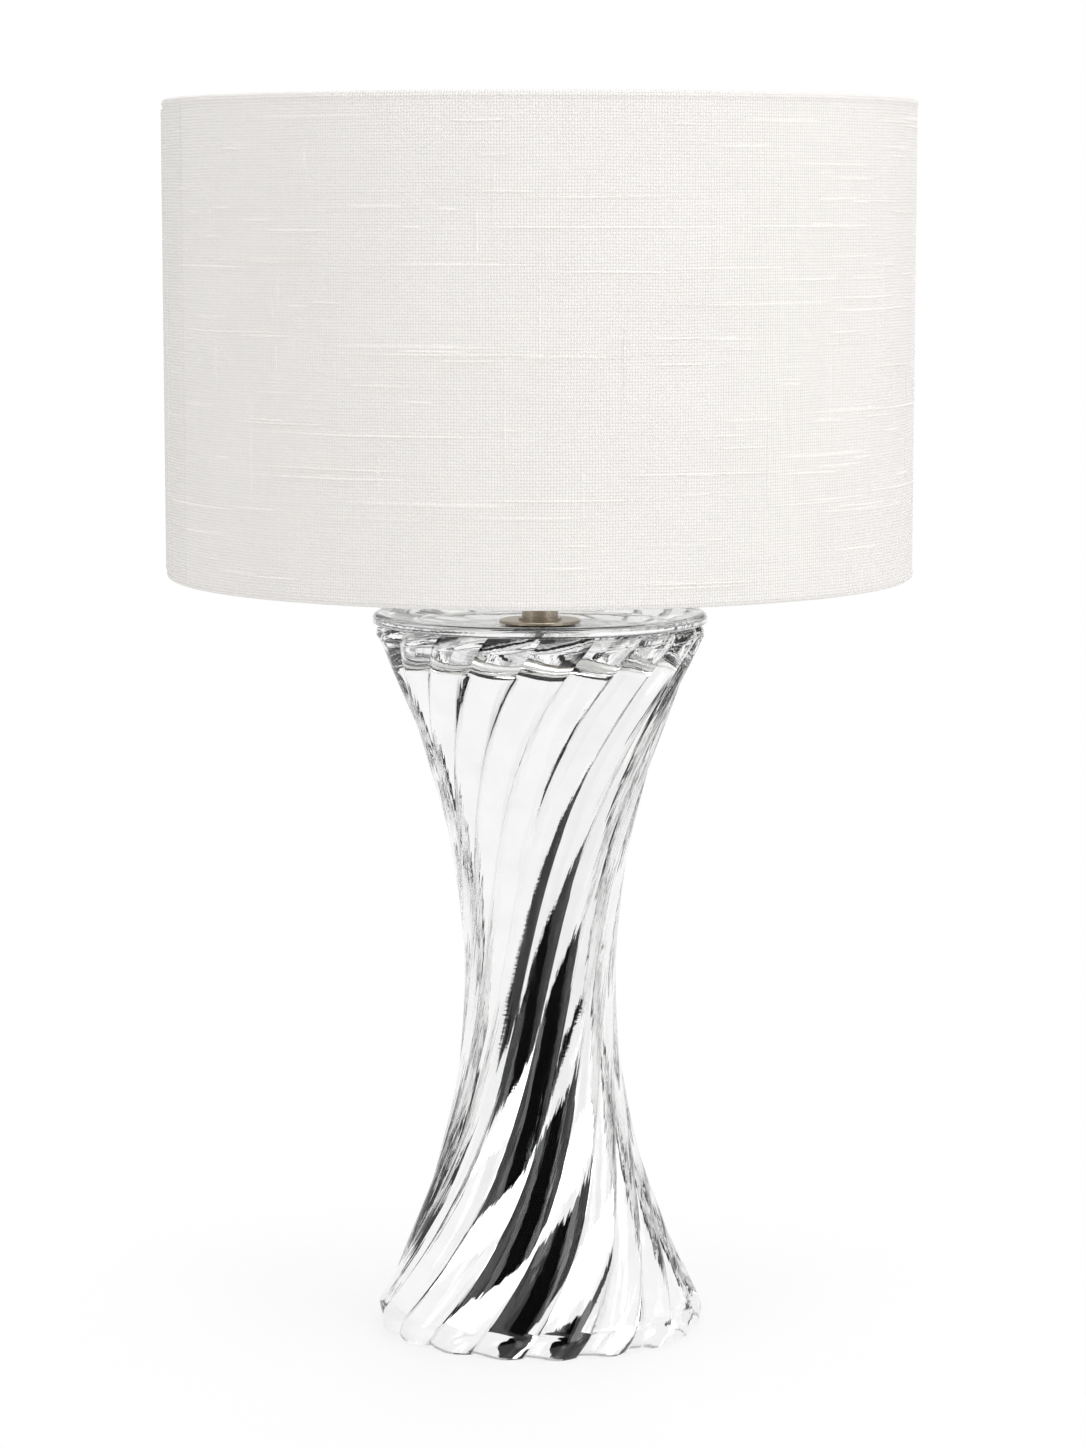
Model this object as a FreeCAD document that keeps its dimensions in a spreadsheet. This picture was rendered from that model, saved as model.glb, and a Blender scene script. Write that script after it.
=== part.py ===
import FreeCAD, Part
import math
import os

import Sketcher
from FreeCAD import Placement, Rotation, Vector

# A table lamp: a hollow glass hourglass with spiral flutes and a silvered lining, a bronze neck, an E27
# lampholder and a straight drum shade. Millimetres. The origin is the centre of the foot, +Z is up and -Y is the front.

# Every driving dimension: alias, value, meaning. Angles are in degrees, seen from above.
DIMENSIONS = [
    # cast glass
    ("flute_count", 18, "flutes round the glass"),
    ("flute_depth", 0.055, "depth of the creases as a share of the crest radius"),
    ("flute_start", -6.7, "angle of one crease at the foot, from the front towards +X"),
    ("foot_radius", 88.8, "crest radius of the foot"),
    ("foot_band", 10, "height of the upright band round the foot"),
    ("foot_easing", 1.2, "how far the band turns in where it meets the table"),
    ("waist_radius", 41.6, "crest radius of the waist"),
    ("waist_level", 189, "height of the waist"),
    ("shoulder_radius", 88.7, "crest radius where the flare ends"),
    ("shoulder_level", 379, "height where the flare ends"),
    ("shoulder_height", 7.2, "height over which the flutes round in under the rim"),
    ("shoulder_easing", 3.4, "how far the flutes turn in under the rim"),
    ("twist_at_waist", 0.32, "turn of the flutes per millimetre at the waist"),
    ("twist_at_foot", 0.5, "turn of the flutes per millimetre at the foot"),
    ("rim_radius", 90.5, "radius of the plain rim"),
    ("rim_height", 5.8, "height of the plain rim"),
    ("rim_lip", 1.4, "inward slope of the lower edge of the rim"),
    ("rim_rounding", 3.4, "rounding of the upper edge of the rim"),
    ("dish_depth", 6.5, "depth of the hollow in the top"),
    ("dish_flat", 26, "radius of the flat in the middle of the hollow"),
    ("dish_sweep", 330, "radius of the hollow's curve"),
    ("glass_wall", 5.5, "wall of the glass behind its creases"),
    ("ceiling_level", 374, "height of the ceiling of the cavity"),
    ("ceiling_rounding", 8, "rounding between the ceiling and the wall of the cavity"),
    ("lining_thickness", 0.8, "thickness of the silvered lining"),
    ("lining_gap", 0.3, "cement between the glass and its lining"),
    ("lining_foot", 1, "height of the lining's lower edge"),
    ("lining_hole", 16, "radius of the hole in the lining's ceiling"),
    ("base_level", 2.5, "height of the base plate"),
    ("base_thickness", 2, "thickness of the base plate"),
    ("pad_setback", 2, "how far the felt pad stays inside the base plate's edge"),
    ("pad_thickness", 1.5, "thickness of the felt pad"),
    # neck
    ("stud_radius", 5, "radius of the threaded stud and of the tube"),
    ("thread_gap", 0.05, "clearance of a thread drawn as a plain cylinder"),
    ("stud_hole_gap", 0.6, "clearance of the stud in the glass"),
    ("stud_above", 10, "length of the stud above the glass"),
    ("stud_below", 12, "length of the stud under the glass"),
    ("seal_radius", 14, "radius of the rubber seal under the glass"),
    ("seal_thickness", 1, "thickness of that seal"),
    ("clamp_washer_radius", 13, "radius of the steel washer under the seal"),
    ("clamp_washer_thickness", 1.5, "thickness of that washer"),
    ("nut_width", 17, "width across the flats of the lock nut"),
    ("nut_height", 5, "height of the lock nut"),
    ("washer_gap", 0.3, "clearance of the washers round the stud"),
    ("felt_radius", 19, "radius of the felt washer"),
    ("felt_thickness", 0.5, "thickness of the felt washer"),
    ("washer_radius", 22, "radius of the bronze washer"),
    ("washer_thickness", 1.6, "thickness of the bronze washer"),
    ("washer_bevel", 0.5, "bevel of the bronze washer"),
    ("collar_radius", 9.8, "radius of the neck collar"),
    ("collar_height", 20, "height of the neck collar"),
    ("collar_foot_radius", 11.6, "radius of the collar's foot"),
    ("collar_foot_height", 1, "height of the collar's foot"),
    ("outlet_radius", 3.5, "radius of the cord outlet in the collar"),
    ("outlet_level", 12, "height of the cord outlet above the collar's foot"),
    ("outlet_gap", 0.05, "clearance of the cord bush in the outlet"),
    ("bush_bore", 2.6, "radius of the hole through the cord bush"),
    ("bush_flange_radius", 4.8, "radius of the cord bush's flange"),
    ("bush_flange_thickness", 1.4, "thickness of the cord bush's flange"),
    ("grip_screw_radius", 1.5, "radius of the cord grip screw"),
    ("grip_screw_length", 5, "length of the cord grip screw"),
    ("tube_bore", 3.6, "radius of the bore of the threaded tube"),
    ("tube_in_collar", 4, "length of the tube inside the collar"),
    ("tube_in_cap", 6, "length of the tube inside the lampholder cap"),
    # lampholder
    ("holder_radius", 19.4, "outer radius of the lampholder cap"),
    ("holder_wall", 1.4, "wall of the lampholder cap"),
    ("hub_radius", 8.5, "radius of the hub under the cap"),
    ("hub_height", 3, "height of that hub"),
    ("cap_height", 24, "height of the lampholder cap"),
    ("cap_slope", 9, "height over which the cap widens from its hub"),
    ("flange_radius", 18.9, "radius of the porcelain flange on the cap's rim"),
    ("flange_thickness", 2, "thickness of that flange"),
    ("porcelain_spigot", 3, "depth of the porcelain inside the cap"),
    ("spigot_gap", 0.3, "clearance of the porcelain in the cap"),
    ("porcelain_wall", 3.4, "wall of the porcelain round the screw shell"),
    ("porcelain_floor", 8, "thickness of the porcelain under the screw shell"),
    ("shell_wall", 0.4, "wall of the screw shell"),
    ("shell_height", 23, "height of the screw shell"),
    ("shell_gap", 0.1, "clearance of the screw shell in the porcelain"),
    ("sleeve_radius", 19.6, "outer radius of the sleeve, over its shade thread"),
    ("sleeve_wall", 1.2, "wall of the sleeve"),
    ("sleeve_gap", 0.1, "clearance of the sleeve's skirt on the cap"),
    ("skirt_length", 4.4, "length of the skirt that overlaps the cap"),
    ("sleeve_lip", 1.2, "thickness of the sleeve's top lip"),
    ("seat_above_skirt", 8, "height of the shade seat above the sleeve's skirt"),
    ("ring_radius", 27, "radius of the two shade rings"),
    ("ring_thickness", 2.4, "thickness of the two shade rings"),
    ("ring_hub_radius", 22.5, "radius of the shade rings' hubs"),
    ("ring_hub_height", 4, "height of the shade rings' hubs"),
    ("running_gap", 0.3, "clearance between pieces that turn on each other"),
    ("rivet_radius", 2.2, "radius of the centre contact's rivet"),
    ("contact_width", 7, "width of the centre contact"),
    ("contact_length", 16, "length of the centre contact"),
    ("contact_thickness", 0.5, "thickness of the centre contact"),
    ("contact_rise", 2, "height of the centre contact above the porcelain floor"),
    ("terminal_radius", 2, "radius of the terminal screws"),
    ("terminal_depth", 4, "length of the terminal screws in the porcelain"),
    ("terminal_spacing", 12, "distance of the terminal screws from the axis"),
    ("terminal_gap", 0.1, "clearance of the terminal screws"),
    ("switch_width", 14, "width of the switch block"),
    ("switch_depth", 12, "depth of the switch block, front to back"),
    ("switch_height", 12, "height of the switch block"),
    ("bar_radius", 1.8, "radius of the push bar"),
    ("bar_gap", 0.08, "clearance of the push bar in the switch block"),
    ("bar_hole_gap", 0.5, "clearance of the push bar in the cap's wall"),
    ("button_radius", 4, "radius of the push bar's buttons"),
    ("button_length", 5, "length of each button"),
    ("button_rounding", 1.2, "rounding of each button"),
    ("button_grip", 3, "length of the bar inside each button"),
    ("switch_travel", 6, "travel of the push bar"),
    ("button_clearance", 0.8, "space left between a pushed button and the cap"),
    # bulb
    ("bulb_cap_radius", 13.1, "radius over the bulb cap's thread"),
    ("bulb_cap_bottom", 4.5, "height of the cap's shell above the bulb's contact"),
    ("bulb_cap_height", 21, "height of the cap's shell"),
    ("bulb_contact_radius", 4.6, "radius of the bulb's contact"),
    ("bulb_contact_height", 1.2, "height of the bulb's contact"),
    ("bulb_insulator_radius", 10.6, "radius of the glass insulator"),
    ("bulb_neck_radius", 12.8, "radius of the globe's neck"),
    ("bulb_neck_height", 9, "height of the globe's straight neck"),
    ("bulb_radius", 30, "radius of the globe"),
    ("bulb_join_angle", 47, "angle from the globe's pole where its neck begins"),
    ("bulb_length", 106, "length of the bulb"),
    # shade
    ("shade_radius", 200, "radius of the shade"),
    ("shade_height", 253, "height of the shade"),
    ("shade_level", 411.9, "height of the shade's lower edge"),
    ("cloth_thickness", 0.7, "thickness of the linen"),
    ("liner_thickness", 0.5, "thickness of the stiff liner"),
    ("laminate_gap", 0.05, "glue between the linen and the liner"),
    ("wire_radius", 1.5, "radius of the wire rings"),
    ("roll_wall", 0.8, "thickness of the turned cloth round a wire ring"),
    ("roll_gap", 0.4, "clearance of the turned cloth round its wire and next to the panel"),
    ("wire_set", 0.2, "how far each wire sits inward of the middle of its turned cloth"),
    ("roll_proud", 0.4, "how far the rolled edges stand out from the shade"),
    ("roll_opening", 160, "angle of the gap on the inner side of the rolled edges"),
    ("roll_sides", 8, "straight sides that follow the round of a rolled edge"),
    ("seam_angle", -78, "direction of the side seam from the front"),
    ("seam_width", 12, "width of the side seam's lap"),
    ("seam_thickness", 0.6, "thickness of the side seam's lap"),
    ("arm_count", 3, "arms of the shade carrier"),
    ("arm_radius", 1.4, "radius of the carrier's arms"),
    ("weld_gap", 0.02, "clearance at the welds of the arms"),
    ("arm_bend_radius", 12, "radius of the bend in each arm"),
    ("arm_level_run", 16, "level length of each arm beside the centre ring"),
    ("carrier_radius", 30.5, "outer radius of the carrier's centre ring"),
    ("carrier_gap", 0.8, "clearance of the carrier's centre ring round the sleeve"),
    ("carrier_thickness", 1.6, "thickness of the carrier's centre ring"),
]

# Levels and sizes that follow from the driving dimensions: alias, formula.
DERIVED = [
    ("flute_top", "shoulder_level + shoulder_height"),
    ("rim_top", "flute_top + rim_height"),
    ("seat_level", "rim_top - dish_depth"),
    ("cavity_share", "1 - flute_depth"),
    ("cavity_foot", "foot_radius * cavity_share - glass_wall"),
    ("cavity_waist", "waist_radius * cavity_share - glass_wall"),
    ("eaves_level", "ceiling_level - ceiling_rounding"),
    ("eaves_rise", "(eaves_level - waist_level) / (shoulder_level - waist_level)"),
    ("eaves_crest", "waist_radius + (shoulder_radius - waist_radius) * eaves_rise ^ 2"),
    ("cavity_eaves", "eaves_crest * cavity_share - glass_wall"),
    ("lower_spread", "cavity_foot - cavity_waist"),
    ("upper_spread", "cavity_eaves - cavity_waist"),
    ("lower_rise", "waist_level - foot_band"),
    ("upper_rise", "eaves_level - waist_level"),
    ("lower_sweep", "(lower_spread ^ 2 + lower_rise ^ 2) / (2 * lower_spread)"),
    ("upper_sweep", "(upper_spread ^ 2 + upper_rise ^ 2) / (2 * upper_spread)"),
    ("lining_inset", "lining_gap + lining_thickness"),
    ("base_radius", "cavity_foot - lining_inset - lining_gap"),
    ("seal_level", "ceiling_level - seal_thickness"),
    ("clamp_washer_level", "seal_level - clamp_washer_thickness"),
    ("nut_level", "clamp_washer_level - nut_height"),
    ("washer_level", "seat_level + felt_thickness"),
    ("collar_level", "washer_level + washer_thickness"),
    ("holder_level", "collar_level + collar_height"),
    ("tube_length", "tube_in_collar + tube_in_cap"),
    ("cap_inner", "holder_radius - holder_wall"),
    ("porcelain_level", "holder_level + cap_height - porcelain_spigot"),
    ("floor_rise", "porcelain_spigot + porcelain_floor"),
    ("shell_inner", "bulb_cap_radius + running_gap"),
    ("shell_outer", "shell_inner + shell_wall"),
    ("porcelain_bore", "shell_outer + shell_gap"),
    ("porcelain_height", "floor_rise + shell_height"),
    ("skirt_inner", "holder_radius + sleeve_gap"),
    ("skirt_level", "holder_level + cap_height - skirt_length"),
    ("skirt_height", "skirt_length + flange_thickness + sleeve_gap"),
    ("skirt_outer", "skirt_inner + sleeve_wall"),
    ("sleeve_inner", "sleeve_radius - sleeve_wall"),
    ("sleeve_height", "skirt_length + porcelain_height - porcelain_spigot + sleeve_gap + sleeve_lip"),
    ("seat_ring_level", "skirt_level + skirt_height + seat_above_skirt"),
    ("ring_bore", "sleeve_radius + running_gap"),
    ("carrier_level", "seat_ring_level + ring_hub_height + running_gap"),
    ("clamp_ring_level", "carrier_level + carrier_thickness + running_gap"),
    ("floor_level", "porcelain_level + floor_rise"),
    ("bulb_level", "floor_level + contact_rise + running_gap"),
    ("bar_level", "porcelain_level - switch_height / 2"),
    ("bar_half", "holder_radius + button_clearance + switch_travel / 2 + button_grip"),
    ("globe_level", "bulb_cap_bottom + bulb_cap_height"),
    ("globe_centre", "bulb_length - bulb_radius"),
    ("roll_bore", "wire_radius + roll_gap"),
    ("roll_radius", "roll_bore + roll_wall"),
    ("roll_ring_radius", "shade_radius + roll_proud - roll_radius"),
    ("wire_ring_radius", "roll_ring_radius - wire_set"),
    ("lower_wire_level", "shade_level + roll_radius"),
    ("upper_wire_level", "shade_level + shade_height - roll_radius"),
    ("panel_level", "shade_level + 2 * roll_radius + roll_gap"),
    ("panel_height", "shade_height - 4 * roll_radius - 2 * roll_gap"),
    ("liner_outer", "shade_radius - cloth_thickness - laminate_gap"),
]

doc = FreeCAD.newDocument("table_lamp")
sheet = doc.addObject("Spreadsheet::Sheet", "Sizes")
ALIASES = {row[0] for row in DIMENSIONS + DERIVED}
PIECES = []


def fill_sheet():
    row = 1
    for alias, value, meaning in DIMENSIONS:
        sheet.set(f"A{row}", alias)
        sheet.set(f"B{row}", str(value))
        sheet.set(f"C{row}", meaning)
        sheet.setAlias(f"B{row}", alias)
        row += 1
    for alias, formula in DERIVED:
        sheet.set(f"A{row}", alias)
        sheet.set(f"B{row}", "=" + formula)
        sheet.setAlias(f"B{row}", alias)
        row += 1
    doc.recompute()


def size(alias):
    return float(getattr(sheet, alias))


def linked(formula):
    """A formula of sheet aliases, written so that an object of the document can hold it."""
    words = []
    word = ""
    for sign in formula + " ":
        if sign.isalnum() or sign == "_":
            word += sign
            continue
        words.append(f"Sizes.{word}" if word in ALIASES else word)
        words.append(sign)
        word = ""
    return "".join(words).strip()


def value_of(formula):
    return float(sheet.evalExpression(linked(formula)))


def place(piece, level="0", rotation=None):
    """Stands a piece at its level on the lamp's axis, after its own shape is set."""
    if rotation is not None:
        piece.Placement = Placement(Vector(), rotation)
    piece.setExpression("Placement.Base.z", linked(level))


def keep(piece, node):
    piece.Label = node
    PIECES.append(piece)


def plane_of(body, role):
    return next(f for f in body.Origin.OriginFeatures if f.Role == role)


def new_sketch(body, role, name):
    sketch = body.newObject("Sketcher::SketchObject", name)
    sketch.AttachmentSupport = [(plane_of(body, role), "")]
    sketch.MapMode = "FlatFace"
    return sketch


def fix_point(sketch, curve, end, across, along):
    """Ties one end of a curve to its two coordinates."""
    for kind, formula in (("DistanceX", across), ("DistanceY", along)):
        sketch.addConstraint(Sketcher.Constraint(kind, curve, end, value_of(formula)))
        sketch.setExpression(f"Constraints[{sketch.ConstraintCount - 1}]", linked(formula))


def arc_between(start, stop, radius):
    """The shorter arc from start to stop. It bulges to the right of its way for a positive radius."""
    middle = (start + stop) * 0.5
    chord = stop - start
    side = Vector(chord.y, -chord.x, 0).normalize() * math.copysign(1, radius)
    reach = math.sqrt(max(radius**2 - (chord.Length / 2) ** 2, 0))
    top = middle - side * reach + side * abs(radius)
    return Part.Arc(start, top, stop)


def draw_outline(sketch, corners):
    """A closed outline. A corner is (across, along) or (across, along, radius of the arc to the next one)."""
    points = [Vector(value_of(c[0]), value_of(c[1]), 0) for c in corners]
    for index, corner in enumerate(corners):
        start = points[index]
        stop = points[(index + 1) % len(points)]
        if len(corner) == 3:
            radius = value_of(corner[2])
            arc = arc_between(start, stop, radius)
            sketch.addGeometry(arc, False)
        else:
            sketch.addGeometry(Part.LineSegment(start, stop), False)
    for index, corner in enumerate(corners):
        first = 1
        if len(corner) == 3 and value_of(corner[2]) < 0:
            first = 2
        fix_point(sketch, index, first, corner[0], corner[1])
    for index, corner in enumerate(corners):
        following = (index + 1) % len(corners)
        last = 2
        if len(corner) == 3 and value_of(corner[2]) < 0:
            last = 1
        first = 1
        if len(corners[following]) == 3 and value_of(corners[following][2]) < 0:
            first = 2
        sketch.addConstraint(Sketcher.Constraint("Coincident", index, last, following, first))
    for index, corner in enumerate(corners):
        if len(corner) == 3:
            sketch.addConstraint(Sketcher.Constraint("Radius", index, abs(value_of(corner[2]))))
            sketch.setExpression(
                f"Constraints[{sketch.ConstraintCount - 1}]", linked(f"abs({corner[2]})")
            )


def turned(node, corners, level="0", rotation=None):
    """A body turned round the Z axis from half of its section."""
    body = doc.addObject("PartDesign::Body", node)
    sketch = new_sketch(body, "XZ_Plane", node + "_section")
    draw_outline(sketch, corners)
    turn = body.newObject("PartDesign::Revolution", node + "_turn")
    turn.Profile = sketch
    turn.ReferenceAxis = (sketch, ["V_Axis"])
    turn.Angle = 360
    place(body, level, rotation)
    keep(body, node)
    return body


def drill(body, role, name, radius, along, midplane, reverse=False, across="0"):
    """A round hole through a body's wall, square to one of its own planes."""
    sketch = new_sketch(body, role, name + "_circle")
    centre = Vector(value_of(across), value_of(along), 0)
    sketch.addGeometry(Part.Circle(centre, Vector(0, 0, 1), value_of(radius)), False)
    fix_point(sketch, 0, 3, across, along)
    sketch.addConstraint(Sketcher.Constraint("Radius", 0, value_of(radius)))
    sketch.setExpression(f"Constraints[{sketch.ConstraintCount - 1}]", linked(radius))
    doc.recompute()
    before = body.Shape.Volume
    hole = body.newObject("PartDesign::Pocket", name)
    hole.Profile = sketch
    hole.Type = "ThroughAll"
    hole.Midplane = midplane
    hole.Reversed = reverse
    doc.recompute()
    if body.Shape.Volume >= before:
        raise RuntimeError(f"{name} cuts nothing")


def boxed(name, width, depth, height, across="0", back="0", level="0"):
    """A Part box centred on its own axis."""
    box = doc.addObject("Part::Box", name)
    box.setExpression("Length", linked(width))
    box.setExpression("Width", linked(depth))
    box.setExpression("Height", linked(height))
    box.setExpression("Placement.Base.x", linked(f"{across} - ({width}) / 2"))
    box.setExpression("Placement.Base.y", linked(f"{back} - ({depth}) / 2"))
    box.setExpression("Placement.Base.z", linked(level))
    return box


def rod(name, radius, length, across="0", level="0", rotation=None):
    """A Part cylinder."""
    cylinder = doc.addObject("Part::Cylinder", name)
    if rotation is not None:
        cylinder.Placement = Placement(Vector(), rotation)
    cylinder.setExpression("Radius", linked(radius))
    cylinder.setExpression("Height", linked(length))
    cylinder.setExpression("Placement.Base.x", linked(across))
    cylinder.setExpression("Placement.Base.z", linked(level))
    return cylinder


def cut(name, base, tool):
    result = doc.addObject("Part::Cut", name)
    result.Base = base
    result.Tool = tool
    return result


def fuse(name, first, second):
    result = doc.addObject("Part::Fuse", name)
    result.Base = first
    result.Tool = second
    return result


# ---- cast glass ----


def crest_radius(level):
    """Crest radius of the flared glass: a parabola down to the foot's band and one up to the shoulder."""
    waist = size("waist_radius")
    rise = level - size("waist_level")
    if rise < 0:
        reach = size("waist_level") - size("foot_band")
        return waist + (size("foot_radius") - waist) * (rise / reach) ** 2
    reach = size("shoulder_level") - size("waist_level")
    return waist + (size("shoulder_radius") - waist) * (rise / reach) ** 2


def flute_angle(level):
    """Turn of the flutes at a level. They turn fastest at the foot and slowest at the waist."""
    waist = size("waist_level")
    slow = size("twist_at_waist")
    growth = (size("twist_at_foot") - slow) / waist**2
    return slow * level + growth / 3 * ((level - waist) ** 3 + waist**3)


def fluted_section(level, crest):
    """One level section: an arc for each flute, from crease to crease over its crest."""
    pitch = 360 / size("flute_count")
    crease = crest * (1 - size("flute_depth"))
    start = size("flute_start") + flute_angle(level)

    def point(radius, angle):
        turn = math.radians(angle)
        return Vector(radius * math.sin(turn), -radius * math.cos(turn), level)

    arcs = []
    for index in range(int(size("flute_count"))):
        left = start + index * pitch
        ends = point(crease, left), point(crest, left + pitch / 2), point(crease, left + pitch)
        arcs.append(Part.Arc(*ends).toShape())
    return Part.Wire(arcs)


def fluted_stretch(levels, crests):
    sections = [fluted_section(level, crest) for level, crest in zip(levels, crests)]
    return Part.makeLoft(sections, True, False)


def fluted_column():
    """The spiral-fluted hourglass in three stretches: foot band, flare and rounded shoulder."""
    band = size("foot_band")
    shoulder = size("shoulder_level")
    top = size("flute_top")
    foot = size("foot_radius")
    # no step turns by more than a third of a flute, so each arc meets its own neighbour
    largest_step = 360 / size("flute_count") / 3
    turn = flute_angle(shoulder) - flute_angle(band)
    steps = max(16, math.ceil(1.6 * turn / largest_step))
    levels = [band + (shoulder - band) * step / steps for step in range(steps + 1)]
    flare = fluted_stretch(levels, [crest_radius(level) for level in levels])
    easing = size("foot_easing")
    lower = fluted_stretch([0, band / 5, band], [foot - easing, foot - easing / 8, foot])
    easing = size("shoulder_easing")
    edge = size("shoulder_radius")
    upper = fluted_stretch(
        [shoulder, (shoulder + top) / 2, top], [edge, edge - easing / 8, edge - easing]
    )
    return flare.fuse([lower, upper])


def wall_up(inset):
    """The cavity's wall from the foot's band up to its ceiling, set inward by inset."""
    return [
        (f"cavity_foot - {inset}", "foot_band", f"-(lower_sweep + {inset})"),
        (f"cavity_waist - {inset}", "waist_level", f"-(upper_sweep + {inset})"),
        (f"cavity_eaves - {inset}", "eaves_level", f"ceiling_rounding - {inset}"),
        ("cavity_eaves - ceiling_rounding", f"ceiling_level - {inset}"),
    ]


def wall_down(inset):
    """The same wall from its ceiling down to the foot's band."""
    return [
        ("cavity_eaves - ceiling_rounding", f"ceiling_level - {inset}", f"-(ceiling_rounding - {inset})"),
        (f"cavity_eaves - {inset}", "eaves_level", f"upper_sweep + {inset}"),
        (f"cavity_waist - {inset}", "waist_level", f"lower_sweep + {inset}"),
        (f"cavity_foot - {inset}", "foot_band"),
    ]


def glass_body():
    """The fluted column with its plain rim, its dished top, its cavity and the hole for the stud."""
    column = doc.addObject("Part::Feature", "fluted_column")
    column.Shape = fluted_column()
    rim = helper_turned(
        "rim",
        [
            ("0", "flute_top"),
            ("rim_radius - rim_lip", "flute_top"),
            ("rim_radius", "flute_top + rim_lip"),
            ("rim_radius", "rim_top - rim_rounding", "rim_rounding"),
            ("rim_radius - rim_rounding", "rim_top"),
            ("0", "rim_top"),
        ],
    )
    dish = helper_turned(
        "dish",
        [
            ("0", "seat_level"),
            ("dish_flat", "seat_level", "dish_sweep"),
            ("rim_radius - rim_rounding", "rim_top"),
            ("rim_radius - rim_rounding", "rim_top + rim_height"),
            ("0", "rim_top + rim_height"),
        ],
    )
    cavity = helper_turned(
        "cavity",
        [
            ("0", "-foot_band"),
            ("cavity_foot", "-foot_band"),
            *wall_up("0"),
            ("0", "ceiling_level"),
        ],
    )
    hole = rod(
        "stud_hole",
        "stud_radius + stud_hole_gap",
        "rim_top - ceiling_level + ceiling_rounding",
        level="ceiling_level - ceiling_rounding",
    )
    blank = fuse("glass_blank", column, rim)
    dished = cut("glass_dished", blank, dish)
    hollow = cut("glass_hollow", dished, cavity)
    keep(cut("glass_body", hollow, hole), "glass_body")


def lining_and_base():
    """The silvered lining of the cavity and the plate with its felt pad that closes it below."""
    turned(
        "silver_lining",
        [
            ("cavity_foot - lining_gap", "lining_foot"),
            *wall_up("lining_gap"),
            ("lining_hole", "ceiling_level - lining_gap"),
            ("lining_hole", "ceiling_level - lining_inset"),
            *wall_down("lining_inset"),
            ("cavity_foot - lining_inset", "lining_foot"),
        ],
    )
    keep(rod("base_plate", "base_radius", "base_thickness", level="base_level"), "base_plate")
    pad = rod(
        "base_pad",
        "base_radius - pad_setback",
        "pad_thickness",
        level="base_level - pad_thickness",
    )
    keep(pad, "base_pad")


def helper_turned(node, corners):
    """A turned body that is used up in a boolean and isn't a piece by itself."""
    body = turned(node, corners)
    PIECES.remove(body)
    return body


# ---- neck ----


def neck():
    """What is clamped to the glass, from the lock nut in its cavity up to the lampholder."""
    thread_bore = "stud_radius + thread_gap"
    washer_bore = "stud_radius + washer_gap"
    stud = rod(
        "threaded_stud",
        "stud_radius",
        "stud_below + seat_level - ceiling_level + stud_above",
        level="ceiling_level - stud_below",
    )
    keep(stud, "threaded_stud")
    turned(
        "lower_seal",
        [
            (washer_bore, "0"),
            ("seal_radius", "0"),
            ("seal_radius", "seal_thickness"),
            (washer_bore, "seal_thickness"),
        ],
        level="seal_level",
    )
    turned(
        "clamp_washer",
        [
            (washer_bore, "0"),
            ("clamp_washer_radius", "0"),
            ("clamp_washer_radius", "clamp_washer_thickness"),
            (washer_bore, "clamp_washer_thickness"),
        ],
        level="clamp_washer_level",
    )
    blank = doc.addObject("Part::Prism", "nut_blank")
    blank.Polygon = 6
    blank.setExpression("Circumradius", linked("nut_width / sqrt(3)"))
    blank.setExpression("Height", linked("nut_height"))
    blank.setExpression("Placement.Base.z", linked("nut_level"))
    bore = rod("nut_bore", thread_bore, "3 * nut_height", level="nut_level - nut_height")
    keep(cut("lock_nut", blank, bore), "lock_nut")
    turned(
        "felt_washer",
        [
            (washer_bore, "0"),
            ("felt_radius", "0"),
            ("felt_radius", "felt_thickness"),
            (washer_bore, "felt_thickness"),
        ],
        level="seat_level",
    )
    turned(
        "bronze_washer",
        [
            (washer_bore, "0"),
            ("washer_radius", "0"),
            ("washer_radius", "washer_thickness - washer_bevel"),
            ("washer_radius - washer_bevel", "washer_thickness"),
            (washer_bore, "washer_thickness"),
        ],
        level="washer_level",
    )
    collar = turned(
        "neck_collar",
        [
            (thread_bore, "0"),
            ("collar_foot_radius", "0"),
            ("collar_foot_radius", "collar_foot_height"),
            ("collar_radius", "collar_foot_height"),
            ("collar_radius", "collar_height"),
            (thread_bore, "collar_height"),
        ],
        level="collar_level",
    )
    # on this plane the sketch looks along +Y, so the outlet is cut towards the back
    drill(collar, "XZ_Plane", "outlet", "outlet_radius", "outlet_level", False)
    drill(collar, "YZ_Plane", "grip_hole", "grip_screw_radius + thread_gap", "outlet_level", False)
    turned(
        "cord_bush",
        [
            ("bush_bore", "-bush_flange_thickness - outlet_gap"),
            ("bush_flange_radius", "-bush_flange_thickness - outlet_gap"),
            ("bush_flange_radius", "-outlet_gap"),
            ("outlet_radius - outlet_gap", "-outlet_gap"),
            ("outlet_radius - outlet_gap", "(collar_radius - stud_radius) / 2"),
            ("bush_bore", "(collar_radius - stud_radius) / 2"),
        ],
        level="collar_level + outlet_level",
        rotation=Rotation(Vector(1, 0, 0), 90),
    ).setExpression("Placement.Base.y", linked("collar_radius"))
    screw = rod(
        "cord_grip_screw",
        "grip_screw_radius",
        "grip_screw_length",
        across="-collar_radius",
        level="collar_level + outlet_level",
        rotation=Rotation(Vector(0, 1, 0), 90),
    )
    keep(screw, "cord_grip_screw")
    turned(
        "threaded_tube",
        [
            ("tube_bore", "0"),
            ("stud_radius", "0"),
            ("stud_radius", "tube_length"),
            ("tube_bore", "tube_length"),
        ],
        level="holder_level - tube_in_collar",
    )


# ---- lampholder ----


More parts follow.
